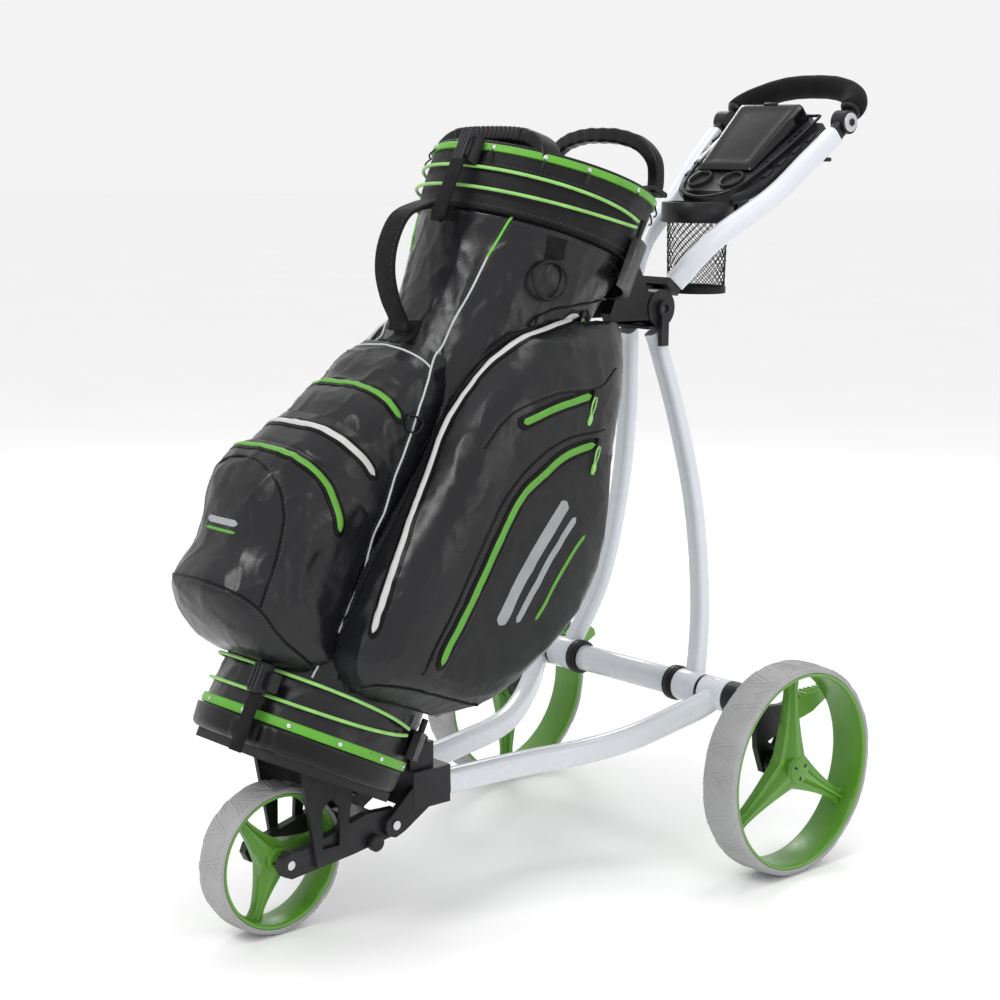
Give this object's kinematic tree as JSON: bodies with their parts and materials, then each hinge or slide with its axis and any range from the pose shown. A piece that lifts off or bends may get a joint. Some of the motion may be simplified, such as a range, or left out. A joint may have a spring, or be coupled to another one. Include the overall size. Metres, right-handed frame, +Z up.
{
  "type": "golf bag on push cart",
  "caption": "Golf bag with pockets, strapped to a folding push cart with green spoked wheels, a console and a foam hand bar.",
  "frame": {"origin": "centre of the footprint at ground level", "axes": "+Z up, -Y towards the front wheel, +X towards the left of a person who pushes the cart and faces forward"},
  "size_m": [0.62, 1.1331, 1.0802],
  "materials": {
    "white_paint": "gloss powder coat",
    "black_plastic": "fine texture",
    "green_plastic": "satin moulding",
    "grey_tyre": "matt foamed tyre",
    "steel": "plain",
    "black_foam": "closed-cell foam",
    "charcoal_nylon": "coated nylon with a slight sheen",
    "black_webbing": "woven webbing",
    "green_band": "bound edge",
    "green_cord": "elastic cord",
    "black_net": "open net",
    "silver_plastic": "plain"
  },
  "bodies": {
    "chassis": {"crossbar": "white_paint", "collar_left": "black_plastic", "collar_right": "black_plastic", "lower_tube_left": "white_paint", "lower_tube_right": "white_paint", "end_bracket_left": "black_plastic", "end_bracket_right": "black_plastic", "wheel_hinge_pin_left": "steel", "wheel_hinge_pin_right": "steel", "front_yoke": "black_plastic", "fork_pin": "steel", "fork": "black_plastic", "front_axle": "steel", "bag_tray": "black_plastic", "lower_cradle": "black_plastic"},
    "front_wheel": {"tyre_front": "grey_tyre", "rim_front": "green_plastic"},
    "tracking_knob": {"tracking_knob": "black_plastic"},
    "wheel_arm_left": {"wheel_arm_left": "black_plastic", "rear_axle_left": "steel"},
    "wheel_arm_right": {"wheel_arm_right": "black_plastic", "rear_axle_right": "steel"},
    "rear_wheel_left": {"tyre_rear_left": "grey_tyre", "rim_rear_left": "green_plastic"},
    "rear_wheel_right": {"tyre_rear_right": "grey_tyre", "rim_rear_right": "green_plastic"},
    "brake_pedal_left": {"brake_pedal_left": "green_plastic"},
    "brake_pedal_right": {"brake_pedal_right": "green_plastic"},
    "uprights": {"upright_left": "white_paint", "upright_right": "white_paint", "upper_bracket": "black_plastic", "upper_hinge_pin": "steel"},
    "hinge_lever": {"hinge_lever": "black_plastic"},
    "handle": {"handle_knuckle": "black_plastic", "handle_tube_left": "white_paint", "handle_tube_right": "white_paint", "console": "black_plastic", "bottle_net": "black_net", "pencil": "silver_plastic", "grip_socket_left": "black_plastic", "grip_socket_right": "black_plastic"},
    "console_lid": {"console_lid": "black_plastic"},
    "grip": {"grip_foam": "black_foam"},
    "bag": {"bag_shell": "charcoal_nylon", "cuff": "black_plastic", "rim_band": "green_band", "top_divider": "black_plastic", "base_foot": "black_plastic", "base_band": "green_band", "ball_pocket": "charcoal_nylon", "middle_front_pocket": "charcoal_nylon", "upper_front_pocket": "charcoal_nylon", "side_pocket_left": "charcoal_nylon", "side_pocket_right": "charcoal_nylon", "rear_carry_handle": "black_plastic", "lift_strap": "black_webbing", "upper_bungee": "green_cord", "lower_bungee": "green_cord"},
    "towel_ring": {"towel_ring": "black_plastic"}
  },
  "joints": [
    {"name": "frame_fold", "type": "hinge", "parent": "chassis", "child": "uprights", "pos_m": [0, 0.17725, 0.23], "axis": [1, 0, 0], "range_deg": [0, 80]},
    {"name": "handle_fold", "type": "hinge", "parent": "uprights", "child": "handle", "pos_m": [0, 0.18625, 0.752], "axis": [-1, 0, 0], "range_deg": [0, 90], "deforming": ["bottle_net"]},
    {"name": "hinge_lever_turn", "type": "hinge", "parent": "uprights", "child": "hinge_lever", "pos_m": [0.0464, 0.18625, 0.752], "axis": [-1, 0, 0], "range_deg": [0, 90]},
    {"name": "grip_tilt", "type": "hinge", "parent": "handle", "child": "grip", "pos_m": [0, 0.48425, 1.01], "axis": [1, 0, 0], "range_deg": [-25, 25]},
    {"name": "console_lid_open", "type": "hinge", "parent": "handle", "child": "console_lid", "pos_m": [0, 0.35495, 0.9419], "axis": [1, 0, 0], "range_deg": [0, 100]},
    {"name": "wheel_fold_left", "type": "hinge", "parent": "chassis", "child": "wheel_arm_left", "pos_m": [0.232, 0.17725, 0.217], "axis": [0, 0.9272, 0.3746], "range_deg": [0, 90]},
    {"name": "wheel_fold_right", "type": "hinge", "parent": "chassis", "child": "wheel_arm_right", "pos_m": [-0.232, 0.17725, 0.217], "axis": [0, -0.9272, -0.3746], "range_deg": [0, 90]},
    {"name": "rear_wheel_left_spin", "type": "hinge", "parent": "wheel_arm_left", "child": "rear_wheel_left", "pos_m": [0.2817, 0.20125, 0.145], "axis": [1, 0, 0], "continuous": true},
    {"name": "rear_wheel_right_spin", "type": "hinge", "parent": "wheel_arm_right", "child": "rear_wheel_right", "pos_m": [-0.2817, 0.20125, 0.145], "axis": [1, 0, 0], "continuous": true},
    {"name": "front_wheel_spin", "type": "hinge", "parent": "chassis", "child": "front_wheel", "pos_m": [0, -0.45535, 0.0953], "axis": [1, 0, 0], "continuous": true},
    {"name": "brake_pedal_left_press", "type": "hinge", "parent": "wheel_arm_left", "child": "brake_pedal_left", "pos_m": [0.232, 0.23125, 0.203], "axis": [-1, 0, 0], "range_deg": [0, 12]},
    {"name": "brake_pedal_right_press", "type": "hinge", "parent": "wheel_arm_right", "child": "brake_pedal_right", "pos_m": [-0.232, 0.23125, 0.203], "axis": [-1, 0, 0], "range_deg": [0, 12]},
    {"name": "tracking_knob_turn", "type": "hinge", "parent": "chassis", "child": "tracking_knob", "pos_m": [0.0503, -0.32875, 0.098], "axis": [1, 0, 0], "range_deg": [-180, 180]},
    {"name": "bag_lift", "type": "slide", "parent": "chassis", "child": "bag", "axis": [0, -0.7, 0.7141], "range_m": [0, 1.4]},
    {"name": "towel_ring_swing", "type": "hinge", "parent": "bag", "child": "towel_ring", "pos_m": [0.125, -0.09693, 0.82701], "axis": [-0.2639, -0.8669, 0.4228], "range_deg": [0, 60]}
  ],
  "couplings": [
    {"joint": "bag_lift", "follows": "frame_fold", "m_per_rad": 1}
  ]
}
